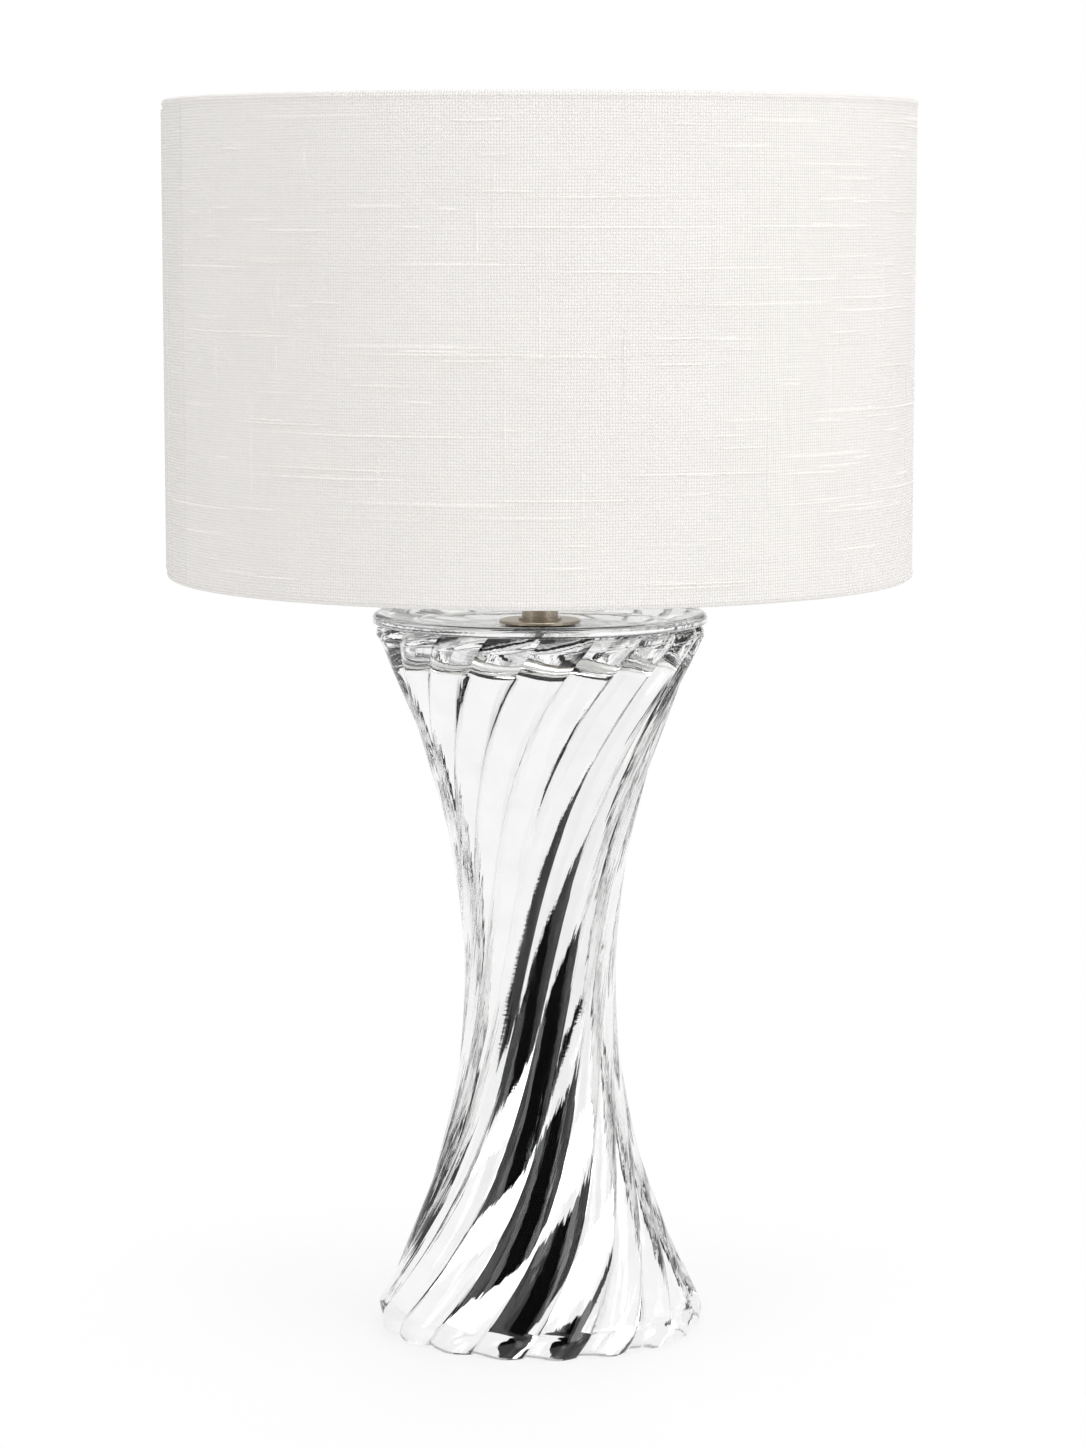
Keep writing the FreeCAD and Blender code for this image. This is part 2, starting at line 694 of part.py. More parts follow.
def lampholder():
    """A brass E27 lampholder with a push-through switch in its cap."""
    thread_bore = "stud_radius + thread_gap"
    cap = turned(
        "lampholder_cap",
        [
            (thread_bore, "0"),
            ("hub_radius", "0"),
            ("hub_radius", "hub_height"),
            ("holder_radius", "hub_height + cap_slope"),
            ("holder_radius", "cap_height"),
            ("cap_inner", "cap_height"),
            ("cap_inner", "hub_height + cap_slope + holder_wall / 2"),
            ("hub_radius", "hub_height + 1.5 * holder_wall"),
            (thread_bore, "hub_height + 1.5 * holder_wall"),
        ],
        level="holder_level",
    )
    drill(cap, "YZ_Plane", "bar_holes", "bar_radius + bar_hole_gap", "bar_level - holder_level", True)
    turned(
        "porcelain_body",
        [
            ("0", "0"),
            ("cap_inner - spigot_gap", "0"),
            ("cap_inner - spigot_gap", "porcelain_spigot"),
            ("flange_radius", "porcelain_spigot"),
            ("flange_radius", "porcelain_spigot + flange_thickness"),
            ("porcelain_bore + porcelain_wall", "porcelain_spigot + flange_thickness"),
            ("porcelain_bore + porcelain_wall", "porcelain_height"),
            ("porcelain_bore", "porcelain_height"),
            ("porcelain_bore", "floor_rise"),
            ("0", "floor_rise"),
        ],
        level="porcelain_level",
    )
    terminal_holes()
    turned(
        "screw_shell",
        [
            ("shell_inner", "0"),
            ("shell_outer", "0"),
            ("shell_outer", "shell_height"),
            ("shell_inner", "shell_height"),
        ],
        level="floor_level",
    )
    tongue = boxed(
        "contact_tongue",
        "contact_length",
        "contact_width",
        "contact_thickness",
        level="floor_level + contact_rise - contact_thickness",
    )
    rivet = rod("contact_rivet", "rivet_radius", "contact_rise", level="floor_level")
    keep(fuse("centre_contact", tongue, rivet), "centre_contact")
    turned(
        "lampholder_sleeve",
        [
            ("skirt_inner", "0"),
            ("skirt_outer", "0"),
            ("skirt_outer", "skirt_height + sleeve_wall"),
            ("sleeve_radius", "skirt_height + sleeve_wall"),
            ("sleeve_radius", "sleeve_height"),
            ("porcelain_bore", "sleeve_height"),
            ("porcelain_bore", "sleeve_height - sleeve_lip"),
            ("sleeve_inner", "sleeve_height - sleeve_lip"),
            ("sleeve_inner", "skirt_height"),
            ("skirt_inner", "skirt_height - sleeve_gap / 2"),
        ],
        level="skirt_level",
    )
    turned(
        "lower_shade_ring",
        [
            ("ring_bore", "0"),
            ("ring_hub_radius", "0"),
            ("ring_hub_radius", "ring_hub_height - ring_thickness"),
            ("ring_radius", "ring_hub_height - ring_thickness"),
            ("ring_radius", "ring_hub_height"),
            ("ring_bore", "ring_hub_height"),
        ],
        level="seat_ring_level",
    )
    turned(
        "upper_shade_ring",
        [
            ("ring_bore", "0"),
            ("ring_radius", "0"),
            ("ring_radius", "ring_thickness"),
            ("ring_hub_radius", "ring_thickness"),
            ("ring_hub_radius", "ring_hub_height"),
            ("ring_bore", "ring_hub_height"),
        ],
        level="clamp_ring_level",
    )


def terminal_holes():
    """The two terminal screws, seated in the underside of the porcelain beside the switch."""
    body = PIECES[-1]
    holes = []
    screws = []
    for side in ("left", "right"):
        across = "-terminal_spacing" if side == "left" else "terminal_spacing"
        place_at = f"{across}"
        holes.append((place_at, side))
        screw = rod(
            f"terminal_screw_{side}",
            "terminal_radius",
            "terminal_depth",
            across=place_at,
            level="porcelain_level",
        )
        screws.append(screw)
    for place_at, side in holes:
        sketch = new_sketch(body, "XY_Plane", f"terminal_{side}_circle")
        centre = Vector(value_of(place_at), 0, 0)
        radius = "terminal_radius + terminal_gap"
        sketch.addGeometry(Part.Circle(centre, Vector(0, 0, 1), value_of(radius)), False)
        fix_point(sketch, 0, 3, place_at, "0")
        sketch.addConstraint(Sketcher.Constraint("Radius", 0, value_of(radius)))
        sketch.setExpression(f"Constraints[{sketch.ConstraintCount - 1}]", linked(radius))
        doc.recompute()
        before = body.Shape.Volume
        hole = body.newObject("PartDesign::Pocket", f"terminal_{side}")
        hole.Profile = sketch
        hole.Type = "Length"
        hole.Reversed = True
        hole.setExpression("Length", linked("terminal_depth + terminal_gap"))
        doc.recompute()
        if body.Shape.Volume >= before:
            raise RuntimeError(f"terminal_{side} cuts nothing")
    group = doc.addObject("Part::Compound", "terminal_screws")
    group.Links = screws
    keep(group, "terminal_screws")


def switch():
    """The switch block under the porcelain and the push bar that slides through it along X."""
    along_x = Rotation(Vector(0, 1, 0), 90)
    block = boxed(
        "switch_block_blank",
        "switch_width",
        "switch_depth",
        "switch_height",
        level="porcelain_level - switch_height",
    )
    bore = rod(
        "switch_bore",
        "bar_radius + bar_gap",
        "2 * switch_width",
        across="-switch_width",
        level="bar_level",
        rotation=along_x,
    )
    keep(cut("switch_block", block, bore), "switch_block")
    # at rest the bar is pushed to -X, so it can travel towards +X
    bar = rod(
        "push_bar",
        "bar_radius",
        "2 * bar_half",
        across="-bar_half - switch_travel / 2",
        level="bar_level",
        rotation=along_x,
    )
    keep(bar, "push_bar")
    for side, turn in (("left", -90), ("right", 90)):
        sign = "-" if side == "left" else ""
        button = turned(
            f"push_button_{side}",
            [
                ("0", "0"),
                ("bar_radius + thread_gap", "0"),
                ("bar_radius + thread_gap", "-button_grip"),
                ("button_radius", "-button_grip"),
                ("button_radius", "button_length - button_grip - button_rounding", "button_rounding"),
                ("button_radius - button_rounding", "button_length - button_grip"),
                ("0", "button_length - button_grip"),
            ],
            level="bar_level",
            rotation=Rotation(Vector(0, 1, 0), turn),
        )
        button.setExpression(
            "Placement.Base.x", linked(f"{sign}(bar_half) - switch_travel / 2")
        )


# ---- bulb ----


def bulb():
    """An opal E27 bulb with its contact 0.3 mm above the lampholder's."""
    turned(
        "bulb_contact",
        [
            ("0", "0"),
            ("bulb_contact_radius", "0"),
            ("bulb_contact_radius", "bulb_contact_height"),
            ("0", "bulb_contact_height"),
        ],
        level="bulb_level",
    )
    turned(
        "bulb_insulator",
        [
            ("0", "bulb_contact_height"),
            ("bulb_contact_radius + bulb_contact_height", "bulb_contact_height"),
            ("bulb_insulator_radius", "bulb_cap_bottom"),
            ("0", "bulb_cap_bottom"),
        ],
        level="bulb_level",
    )
    turned(
        "bulb_cap",
        [
            ("0", "bulb_cap_bottom"),
            ("bulb_insulator_radius", "bulb_cap_bottom"),
            ("bulb_cap_radius", "bulb_cap_bottom + bulb_cap_radius - bulb_insulator_radius"),
            ("bulb_cap_radius", "globe_level"),
            ("0", "globe_level"),
        ],
        level="bulb_level",
    )
    join_radius = "bulb_radius * sin(bulb_join_angle)"
    join_level = "globe_centre - bulb_radius * cos(bulb_join_angle)"
    neck_top = "globe_level + bulb_neck_height"
    rise = f"({join_level} - {neck_top})"
    spread = f"({join_radius} - bulb_neck_radius)"
    turned(
        "bulb_globe",
        [
            ("0", "globe_level"),
            ("bulb_neck_radius", "globe_level"),
            ("bulb_neck_radius", neck_top, f"-({rise} ^ 2 + {spread} ^ 2) / (2 * {spread})"),
            (join_radius, join_level, "bulb_radius"),
            ("bulb_radius", "globe_centre", "bulb_radius"),
            ("0", "bulb_length"),
        ],
        level="bulb_level",
    )


# ---- shade ----


def shade():
    """The hard-backed linen drum on its wire rings and its three-armed carrier."""
    turned(
        "shade_cloth",
        [
            ("shade_radius - cloth_thickness", "0"),
            ("shade_radius", "0"),
            ("shade_radius", "panel_height"),
            ("shade_radius - cloth_thickness", "panel_height"),
        ],
        level="panel_level",
    )
    turned(
        "shade_liner",
        [
            ("liner_outer - liner_thickness", "0"),
            ("liner_outer", "0"),
            ("liner_outer", "panel_height"),
            ("liner_outer - liner_thickness", "panel_height"),
        ],
        level="panel_level",
    )
    for end in ("lower", "upper"):
        rolled_edge(end)
        wire = doc.addObject("Part::Torus", f"{end}_wire_ring")
        wire.setExpression("Radius1", linked("wire_ring_radius"))
        wire.setExpression("Radius2", linked("wire_radius"))
        place(wire, f"{end}_wire_level")
        keep(wire, f"{end}_wire_ring")
    turned(
        "carrier_ring",
        [
            ("sleeve_radius + carrier_gap", "0"),
            ("carrier_radius", "0"),
            ("carrier_radius", "carrier_thickness"),
            ("sleeve_radius + carrier_gap", "carrier_thickness"),
        ],
        level="carrier_level",
    )
    carrier_arms()
    side_seam()


def rolled_edge(end):
    """Cloth turned round a wire ring and open on the inner side. Straight sides follow its round section."""
    outer = []
    inner = []
    sides = int(size("roll_sides"))
    for index in range(sides + 1):
        angle = f"({index} / roll_sides - 0.5) * (360 - roll_opening)"
        for line, radius in ((outer, "roll_radius"), (inner, "roll_bore")):
            line.append((f"roll_ring_radius + {radius} * cos({angle})", f"{radius} * sin({angle})"))
    turned(f"{end}_rolled_edge", outer + inner[::-1], level=f"{end}_wire_level")


def side_seam():
    """The lap of the cloth: a narrow strip on the outside of the panel."""
    inner = size("shade_radius") + size("laminate_gap")
    middle = math.radians(size("seam_angle"))
    half = size("seam_width") / 2 / inner
    outline = []
    for radius in (inner, inner + size("seam_thickness")):
        ends = [
            Vector(radius * math.sin(angle), -radius * math.cos(angle), 0)
            for angle in (middle - half, middle, middle + half)
        ]
        outline.append(Part.Arc(*ends).toShape())
    inside, outside = outline
    edges = [inside, outside]
    for end in (0, 1):
        corner = inside.Vertexes[end].Point, outside.Vertexes[end].Point
        edges.append(Part.LineSegment(*corner).toShape())
    face = Part.Face(Part.Wire(Part.__sortEdges__(edges)))
    seam = doc.addObject("Part::Feature", "side_seam")
    seam.Shape = face.extrude(Vector(0, 0, size("panel_height")))
    place(seam, "panel_level")
    keep(seam, "side_seam")


def carrier_arms():
    """The bent rods between the lower wire ring and the centre ring, shaped to the two they are welded to."""
    reach = size("wire_ring_radius")
    low = size("lower_wire_level")
    high = size("carrier_level") + size("carrier_thickness") / 2
    start = Vector(size("carrier_radius") - size("arm_radius") / 2, 0, high)
    corner = Vector(size("carrier_radius") + size("arm_level_run"), 0, high)
    finish = Vector(reach, 0, low)
    slope = (finish - corner).normalize()
    half_turn = math.acos(min(1.0, slope.x)) / 2
    # the bend starts where its tangent leaves the two runs
    setback = min(size("arm_bend_radius") * math.tan(half_turn), size("arm_level_run") / 2)
    bend_radius = setback / math.tan(half_turn)
    before = corner - Vector(setback, 0, 0)
    after = corner + slope * setback
    inward = (slope - Vector(1, 0, 0)).normalize()
    middle = corner + inward * (bend_radius / math.cos(half_turn) - bend_radius)
    path = Part.Wire(
        [
            Part.LineSegment(start, before).toShape(),
            Part.Arc(before, middle, after).toShape(),
            Part.LineSegment(after, finish).toShape(),
        ]
    )
    circle = Part.Wire([Part.Circle(start, Vector(1, 0, 0), size("arm_radius")).toShape()])
    rod_shape = path.makePipeShell([circle], True, False)
    ring = Part.makeTorus(reach, size("wire_radius") + size("weld_gap"), Vector(0, 0, low))
    level = Vector(0, 0, size("carrier_level"))
    plate = Part.makeCylinder(size("carrier_radius") + size("weld_gap"), size("carrier_thickness"), level)
    shaped = rod_shape.cut(ring).cut(plate)
    trimmed = max(shaped.Solids, key=lambda solid: solid.Volume)
    count = int(size("arm_count"))
    for index in range(count):
        arm = doc.addObject("Part::Feature", f"carrier_arm_{index + 1}")
        arm.Shape = trimmed
        arm.Placement = Placement(Vector(), Rotation(Vector(0, 0, 1), 90 + 360 / count * index))
        keep(arm, f"carrier_arm_{index + 1}")


def check_and_write():
    doc.recompute()
    for item in doc.Objects:
        bad = [state for state in item.State if state in ("Invalid", "Error")]
        if bad:
            raise RuntimeError(f"{item.Label}: {bad}")
    for piece in PIECES:
        shape = piece.Shape
        if shape.isNull() or not shape.isValid() or not shape.Solids:
            raise RuntimeError(f"{piece.Label} has no valid solid")
    os.makedirs("parts", exist_ok=True)
    for piece in PIECES:
        piece.Shape.exportStep(f"parts/{piece.Label}.step")
        print(f"{piece.Label}: {len(piece.Shape.Solids)} solid, {piece.Shape.Volume:.0f} mm3")


fill_sheet()
glass_body()
lining_and_base()
neck()
lampholder()
switch()
bulb()
shade()
check_and_write()
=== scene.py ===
import bpy
import math
import numpy as np
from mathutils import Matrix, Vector


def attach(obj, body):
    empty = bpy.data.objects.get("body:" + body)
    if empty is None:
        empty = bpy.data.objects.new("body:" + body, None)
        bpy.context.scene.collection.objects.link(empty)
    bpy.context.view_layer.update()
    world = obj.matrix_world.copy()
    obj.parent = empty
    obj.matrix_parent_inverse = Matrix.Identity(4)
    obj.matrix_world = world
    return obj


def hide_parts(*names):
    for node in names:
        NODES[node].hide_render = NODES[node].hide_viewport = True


# The visual model of the fluted glass lamp. Metres, in the CAD's frame: -Y is the front, +Z is up.

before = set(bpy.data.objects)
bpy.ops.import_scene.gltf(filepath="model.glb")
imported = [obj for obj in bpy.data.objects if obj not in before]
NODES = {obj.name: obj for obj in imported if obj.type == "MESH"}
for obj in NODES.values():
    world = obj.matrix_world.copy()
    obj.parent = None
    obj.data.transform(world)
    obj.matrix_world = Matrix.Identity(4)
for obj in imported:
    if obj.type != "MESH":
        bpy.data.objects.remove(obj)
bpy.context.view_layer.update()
SCENE = bpy.context.scene
MM = 0.001


# ---------------------------------------------------------------- dimensions, in millimetres

FLUTES = 18
FLUTE_DEPTH = 0.055
FLUTE_START = math.radians(-6.7)
FOOT_RADIUS = 88.8
FOOT_BAND = 10.0
FOOT_EASING = 1.2
WAIST_RADIUS = 41.6
WAIST_LEVEL = 189.0
SHOULDER_RADIUS = 88.7
SHOULDER_LEVEL = 379.0
SHOULDER_HEIGHT = 7.2
SHOULDER_EASING = 3.4
TWIST_AT_WAIST = 0.32
TWIST_AT_FOOT = 0.5
TWIST_GROWTH = (TWIST_AT_FOOT - TWIST_AT_WAIST) / WAIST_LEVEL ** 2 / 3
RIM_RADIUS = 90.5
RIM_HEIGHT = 5.8
RIM_LIP = 1.4
RIM_ROUNDING = 3.4
DISH_DEPTH = 6.5
DISH_FLAT = 26.0
DISH_SWEEP = 330.0
FLUTE_TOP = SHOULDER_LEVEL + SHOULDER_HEIGHT
GLASS_TOP = FLUTE_TOP + RIM_HEIGHT
SEAT_LEVEL = GLASS_TOP - DISH_DEPTH
GLASS_WALL = 5.5
CEILING_LEVEL = 374.0
CEILING_ROUNDING = 8.0
STUD_HOLE = 5.6
LINING_FOOT = 1.0
LINING_HOLE = 16.0
LINING_THICKNESS = 0.8
LINING_OVERLAP = 0.05

SHADE_RADIUS = 200.0
CLOTH_LOW = 414.4
CLOTH_HIGH = 662.4
CLOTH_LIE = 0.02
LOW_HEM_LEVEL = 414.6
HIGH_HEM_LEVEL = 662.2
HEM_RADIUS = 197.7
HEM_OUTSIDE = 2.7
HEM_INSIDE = 1.9
HEM_OPENING = math.radians(160)
HEM_RIPPLE = 0.13
WARP_PITCH = 1.45
WEFT_PITCH = 1.55
SEAM_ANGLE = math.radians(-78)
SEAM_LOW = 417.4
SEAM_HIGH = 659.4
# the seam's lap, in degrees round the drum: a proud strip, then the flatter band of its turning
LAP_START = -84.0
STRIP_END = -76.2
BAND_END = -67.5
STRIP_PROUD = 0.62
BAND_PROUD = 0.24
# painted shadow: where the cloth is darkened beside the lap's two edges, in degrees past the seam, and how
# wide
PAINTED_SEAM_SHADOWS = ((2.25, 0.5), (10.95, 0.4))


# ---------------------------------------------------------------- mesh helpers

def new_piece(name, points, faces, smooth=True, sharp=None):
    """A mesh object from points and faces. sharp lists the pairs of points whose edge stays hard."""
    mesh = bpy.data.meshes.new(name)
    mesh.from_pydata([tuple(p) for p in points], [], [tuple(f) for f in faces])
    mesh.validate()
    mesh.polygons.foreach_set("use_smooth", [smooth] * len(mesh.polygons))
    if sharp:
        hard = {frozenset(pair) for pair in sharp}
        marks = mesh.attributes.new("sharp_edge", "BOOLEAN", "EDGE")
        marks.data.foreach_set("value", [frozenset(e.vertices) in hard for e in mesh.edges])
    mesh.update()
    piece = bpy.data.objects.new(name, mesh)
    SCENE.collection.objects.link(piece)
    return piece


def ring_faces(rings, count, closed=False):
    """Quads between rings of count points each. closed joins the last ring to the first."""
    here = np.arange(count)
    following = (here + 1) % count
    faces = []
    for k in range(rings - 1 + closed):
        low = k * count
        high = (k + 1) % rings * count
        quads = [low + here, low + following, high + following, high + here]
        faces.extend(np.stack(quads, 1).tolist())
    return faces


def circle(radius, level, angle):
    """Points in metres at a radius, a level and angles from the front, in millimetres and radians."""
    reach = radius * MM
    return np.stack([reach * np.sin(angle), -reach * np.cos(angle), np.full(len(angle), level * MM)], 1)


def lathe(name, profile, count, ripple=None):
    """Turns a closed profile of (radius, height) in millimetres about the vertical."""
    turn = np.linspace(0, 2 * math.pi, count, endpoint=False)
    rings = []
    for step, (radius, height) in enumerate(profile):
        reach = np.full(count, radius)
        if ripple is not None:
            reach = reach + ripple(turn, step)
        rings.append(circle(reach, height, turn))
    return new_piece(name, np.concatenate(rings), ring_faces(len(rings), count, closed=True))


def harden(piece):
    """Keeps the edges sharper than 40 degrees hard and the others smooth."""
    piece.data.set_sharp_from_angle(angle=math.radians(40))
    return piece


def finish_piece(piece, body, slot, material, *nodes):
    """Gives a piece its material and its body, and hides the CAD nodes that it stands for. The slot is not
    used.
    """
    piece.data.materials.clear()
    piece.data.materials.append(material)
    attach(piece, body)
    if nodes:
        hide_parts(*nodes)
    return piece


# ---------------------------------------------------------------- materials

class Wiring:
    """A node tree with short ways to add nodes."""

    def __init__(self, tree):
        self.tree = tree

    def add(self, kind, **values):
        node = self.tree.nodes.new(kind)
        for key, value in values.items():
            setattr(node, key, value)
        return node

    def wire(self, source, target):
        self.tree.links.new(source, target)

    def math(self, operation, a, b=None, c=None, clamp=False):
        node = self.add("ShaderNodeMath", operation=operation, use_clamp=clamp)
        for socket, value in zip(node.inputs, (a, b, c)):
            if value is None:
                continue
            if isinstance(value, (int, float)):
                socket.default_value = value
            else:
                self.wire(value, socket)
        return node.outputs[0]

    def noise(self, vector, scale, detail=2.0, rough=0.5):
        node = self.add("ShaderNodeTexNoise")
        node.inputs["Scale"].default_value = scale
        node.inputs["Detail"].default_value = detail
        node.inputs["Roughness"].default_value = rough
        self.wire(vector, node.inputs["Vector"])
        return node.outputs["Fac"]

    def sum(self, *parts):
        """Adds up (value, weight) pairs."""
        total = None
        for value, weight in parts:
            part = self.math("MULTIPLY", value, weight)
            total = part if total is None else self.math("ADD", total, part)
        return total

    def stretched(self, vector, scale):
        node = self.add("ShaderNodeMapping")
        node.inputs["Scale"].default_value = scale
        self.wire(vector, node.inputs["Vector"])
        return node.outputs["Vector"]

    def ramp(self, value, low, high, start=0.0, end=1.0):
        node = self.add("ShaderNodeMapRange")
        for key, number in (("From Min", low), ("From Max", high), ("To Min", start), ("To Max", end)):
            node.inputs[key].default_value = number
        self.wire(value, node.inputs["Value"])
        return node.outputs["Result"]

    def blend(self, factor, first, second):
        node = self.add("ShaderNodeMix", data_type="RGBA")
        self.wire(factor, node.inputs["Factor"])
        colours = [s for s in node.inputs if s.type == "RGBA"]
        for socket, value in zip(colours, (first, second)):
            if isinstance(value, tuple):
                socket.default_value = value
            else:
                self.wire(value, socket)
        return [s for s in node.outputs if s.type == "RGBA"][0]


class Paint(Wiring):
    """A material of nodes round one Principled BSDF."""

    def __init__(self, name, **values):
        self.material = bpy.data.materials.new(name)
        self.material.use_nodes = True
        super().__init__(self.material.node_tree)
        self.shader = self.tree.nodes["Principled BSDF"]
        for key, value in values.items():
            self.shader.inputs[key.replace("_", " ")].default_value = value

    def place(self):
        return self.add("ShaderNodeTexCoord").outputs["Object"]

    def bump(self, height, distance, strength=1.0):
        node = self.add("ShaderNodeBump")
        node.inputs["Distance"].default_value = distance
        node.inputs["Strength"].default_value = strength
        self.wire(height, node.inputs["Height"])
        self.wire(node.outputs["Normal"], self.shader.inputs["Normal"])

    def set(self, socket, value):
        self.wire(value, self.shader.inputs[socket])


def grey(level):
    return (level, level, level, 1.0)


def worn_metal(name, colour, dark, roughness, grain=900.0, depth=0.00003):
    """Brushed or plated metal with faint stains and fine turning marks."""
    paint = Paint(name, Metallic=1.0, Roughness=roughness)
    place = paint.place()
    patches = paint.noise(place, 60.0, 3.0)
    marks = paint.noise(paint.stretched(place, (1.0, 1.0, 12.0)), grain, 2.0)
    paint.set("Base Color", paint.blend(paint.ramp(patches, 0.35, 0.7), colour, dark))
    paint.set("Roughness", paint.ramp(marks, 0.3, 0.7, roughness * 0.8, roughness * 1.25))
    paint.bump(marks, depth, 0.35)
    return paint.material


def glazed(name, colour, second, roughness, scale=120.0, depth=0.00005, strength=0.3):
    """A painted, moulded or fired surface with slight unevenness."""
    paint = Paint(name, Roughness=roughness)
    place = paint.place()
    clouds = paint.ramp(paint.noise(place, scale * 0.3, 2.0), 0.3, 0.7)
    paint.set("Base Color", paint.blend(clouds, colour, second))
    paint.bump(paint.noise(place, scale, 3.0), depth, strength)
    return paint.material


def untwisted(paint):
    """Places on the glass with the flutes' twist taken out: streaks drawn in them follow the flutes."""
    split = paint.add("ShaderNodeSeparateXYZ")
    paint.wire(paint.place(), split.inputs[0])
    x, y, z = split.outputs
    from_waist = paint.math("SUBTRACT", z, WAIST_LEVEL * MM)
    cubed = paint.math("POWER", paint.math("ABSOLUTE", from_waist), 3.0)
    cubed = paint.math("MULTIPLY", cubed, paint.math("SIGN", from_waist))
    even = paint.math("MULTIPLY", z, math.radians(TWIST_AT_WAIST) / MM)
    turn = paint.math("ADD", even, paint.math("MULTIPLY", cubed, math.radians(TWIST_GROWTH) / MM ** 3))
    cos, sin = paint.math("COSINE", turn), paint.math("SINE", turn)
    reach = paint.math("SQRT", paint.math("ADD", paint.math("MULTIPLY", x, x), paint.math("MULTIPLY", y, y)))
    reach = paint.math("MAXIMUM", reach, 0.001)
    across = paint.math("ADD", paint.math("MULTIPLY", x, cos), paint.math("MULTIPLY", y, sin))
    deep = paint.math("SUBTRACT", paint.math("MULTIPLY", y, cos), paint.math("MULTIPLY", x, sin))
    join = paint.add("ShaderNodeCombineXYZ")
    paint.wire(paint.math("DIVIDE", across, reach), join.inputs[0])
    paint.wire(paint.math("DIVIDE", deep, reach), join.inputs[1])
    paint.wire(paint.math("MULTIPLY", z, 0.9), join.inputs[2])
    return join.outputs[0]


def clear_glass():
    """Cast glass: clear, fire polished, with slow waves and fine streaks along the flutes."""
    paint = Paint("clear_cast_glass", Roughness=0.0, IOR=1.5)
    paint.shader.inputs["Transmission Weight"].default_value = 1.0
    paint.shader.inputs["Base Color"].default_value = (0.985, 0.99, 0.99, 1.0)
    waves = paint.noise(paint.stretched(paint.place(), (1.0, 1.0, 0.45)), 38.0, 1.0)
    streaks = paint.noise(untwisted(paint), 19.0, 2.0)
    height = paint.math("ADD", waves, paint.math("MULTIPLY", streaks, 0.32))
    paint.bump(height, 0.0011, 0.8)
    return paint.material


def linen(name, weave=1.0, lift=0.0):
    """Off-white slub linen, woven round the drum: the pattern follows the angle and the height."""
    paint = Paint(name, Roughness=0.9)
    paint.shader.inputs["Sheen Weight"].default_value = 0.15
    paint.shader.inputs["Sheen Roughness"].default_value = 0.5
    paint.shader.inputs["Specular IOR Level"].default_value = 0.2
    place = paint.place()
    split = paint.add("ShaderNodeSeparateXYZ")
    paint.wire(place, split.inputs[0])
    x, y, z = split.outputs
    # the angle's jump from +180 to -180 degrees is turned to lie under the seam
    cos, sin = math.cos(SEAM_ANGLE), math.sin(SEAM_ANGLE)
    front = paint.math("ADD", paint.math("MULTIPLY", x, sin), paint.math("MULTIPLY", y, -cos))
    side = paint.math("ADD", paint.math("MULTIPLY", x, -cos), paint.math("MULTIPLY", y, -sin))
    angle = paint.math("ARCTAN2", side, paint.math("MULTIPLY", front, -1.0))
    round_ = paint.math("MULTIPLY", angle, SHADE_RADIUS * MM)
    join = paint.add("ShaderNodeCombineXYZ")
    paint.wire(round_, join.inputs[0])
    paint.wire(z, join.inputs[1])
    cloth = join.outputs[0]
    # threads wander a little from their straight line
    drift = paint.math("MULTIPLY", paint.math("SUBTRACT", paint.noise(cloth, 18.0, 2.0), 0.5), 0.0016)
    warp_turns = paint.math("MULTIPLY", paint.math("ADD", round_, drift), math.pi / (WARP_PITCH * MM))
    weft_turns = paint.math("MULTIPLY", paint.math("ADD", z, drift), math.pi / (WEFT_PITCH * MM))
    warp = paint.math("ABSOLUTE", paint.math("SINE", warp_turns))
    weft = paint.math("ABSOLUTE", paint.math("SINE", weft_turns))
    over = paint.math("MULTIPLY", paint.math("SINE", warp_turns), paint.math("SINE", weft_turns))
    over = paint.ramp(over, -0.6, 0.6)
    under = paint.math("SUBTRACT", 1.0, over)
    weave_height = paint.math("ADD", paint.math("MULTIPLY", warp, over), paint.math("MULTIPLY", weft, under))
    fibres = paint.noise(cloth, 2600.0, 2.0)
    uneven = paint.noise(paint.stretched(cloth, (14.0, 420.0, 1.0)), 1.0, 3.0, 0.6)
    upright = paint.noise(paint.stretched(cloth, (380.0, 11.0, 1.0)), 1.0, 3.0, 0.6)
    cloudy = paint.noise(cloth, 24.0, 3.0)
    height = paint.sum((weave_height, weave), (uneven, 0.45), (upright, 0.2), (fibres, 0.35))
    # the tone follows the weave's height, so raised threads are painted lighter and the gaps between them
    # are painted shade; the other terms vary the yarn's tone at random
    tone = paint.sum((uneven, 0.22), (upright, 0.12), (weave_height, 0.5), (cloudy, 0.16))
    # painted shadow: the cloth is darkened a little along the two edges of the seam's lap
    for beside_seam, fade in PAINTED_SEAM_SHADOWS:
        apart = paint.math("ABSOLUTE", paint.math("SUBTRACT", angle, math.radians(beside_seam - 180)))
        tone = paint.math("SUBTRACT", tone, paint.ramp(apart, 0.0, math.radians(fade), 0.3, 0.0))
    light = (0.96 + lift, 0.935 + lift, 0.91 + lift, 1.0)
    dim = (0.84 + lift, 0.815 + lift, 0.79 + lift, 1.0)
    paint.set("Base Color", paint.blend(paint.ramp(tone, 0.3, 0.78), dim, light))
    paint.bump(height, 0.0005, 1.0)
    return paint.material


